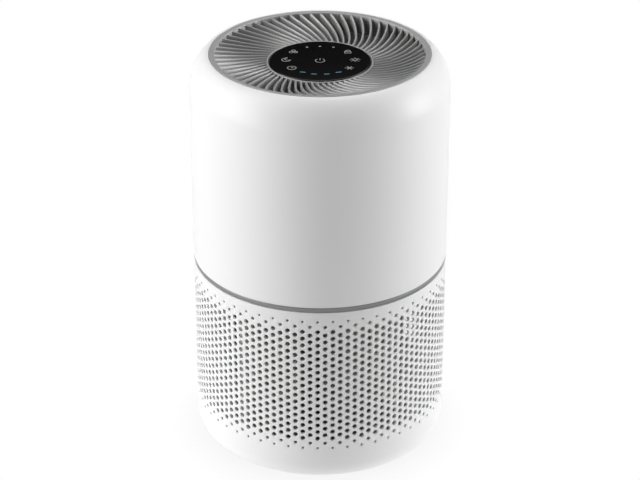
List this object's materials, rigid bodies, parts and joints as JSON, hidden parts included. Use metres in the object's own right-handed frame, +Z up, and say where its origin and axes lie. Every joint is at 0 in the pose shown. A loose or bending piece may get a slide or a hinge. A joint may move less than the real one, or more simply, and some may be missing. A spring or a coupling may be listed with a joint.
{
  "type": "air purifier",
  "caption": "Upright round room air purifier: all-round perforated intake below, spiral outlet grille and touch panel on top, fan and twist-out filter inside.",
  "frame": {"origin": "middle of the footprint, on the surface that the feet stand on", "axes": "+Z up along the body's axis, -Y the front of the control panel, +X to the right seen from the front"},
  "size_m": [0.22, 0.22, 0.36],
  "materials": {
    "white_housing": "satin white moulded ABS",
    "silver_trim": "satin silver-grey paint",
    "grey_grille": "satin mid-grey, slightly pearly",
    "black_panel": "polished black",
    "milky_plastic": "translucent milky diffuser",
    "circuit_board": "green solder mask over glass-fibre board",
    "inner_plastic": "plain light grey moulding",
    "fan_plastic": "dark glass-filled moulding",
    "steel": "zinc-plated or ground",
    "windings": "enamelled copper on laminations",
    "black_plastic": "black sleeve and mouldings",
    "rubber": "matt",
    "filter_plastic": "dark grey moulding",
    "carbon": "granules in a net",
    "filter_paper": "pleated fibre paper",
    "filter_net": "fine nylon net",
    "foam": "closed-cell foam",
    "ribbon": "woven ribbon"
  },
  "bodies": {
    "housing": {"upper_housing": "white_housing", "lower_housing": "white_housing", "trim_ring": "silver_trim", "top_grille": "grey_grille", "panel_cover": "black_panel", "light_guide": "milky_plastic", "touch_board": "circuit_board", "panel_base": "inner_plastic", "mid_chassis": "inner_plastic", "inlet_guard": "inner_plastic", "fan_diffuser": "inner_plastic", "air_duct": "inner_plastic", "motor_stator": "windings", "bearing_lower": "steel", "bearing_upper": "steel", "power_board": "circuit_board", "power_transformer": "black_plastic", "main_capacitor": "black_plastic", "mains_lead": "black_plastic", "cord_inlet": "rubber", "foot_1": "rubber", "foot_2": "rubber", "foot_3": "rubber", "foot_4": "rubber", "base_screw_1": "steel", "base_screw_2": "steel", "base_screw_3": "steel", "base_screw_4": "steel"},
    "fan_rotor": {"impeller": "fan_plastic", "impeller_nut": "steel", "motor_shaft": "steel", "motor_rotor": "steel"},
    "filter": {"filter_core": "filter_plastic", "filter_carbon": "carbon", "filter_media": "filter_paper", "filter_prefilter": "filter_net", "filter_top_cap": "filter_plastic", "filter_bottom_cap": "filter_plastic", "filter_seal": "foam", "filter_pull_tab": "ribbon"},
    "cover": {"bottom_cover": "white_housing"}
  },
  "joints": [
    {"name": "fan_spin", "type": "hinge", "parent": "housing", "child": "fan_rotor", "pos_m": [0, 0, 0.2], "axis": [0, 0, 1], "continuous": true},
    {"name": "filter_drop", "type": "slide", "parent": "housing", "child": "filter", "axis": [0, 0, -1], "range_m": [0, 0.17]},
    {"name": "cover_twist", "type": "hinge", "parent": "filter", "child": "cover", "pos_m": [0, 0, 0.004], "axis": [0, 0, 1], "range_deg": [0, 20]}
  ]
}
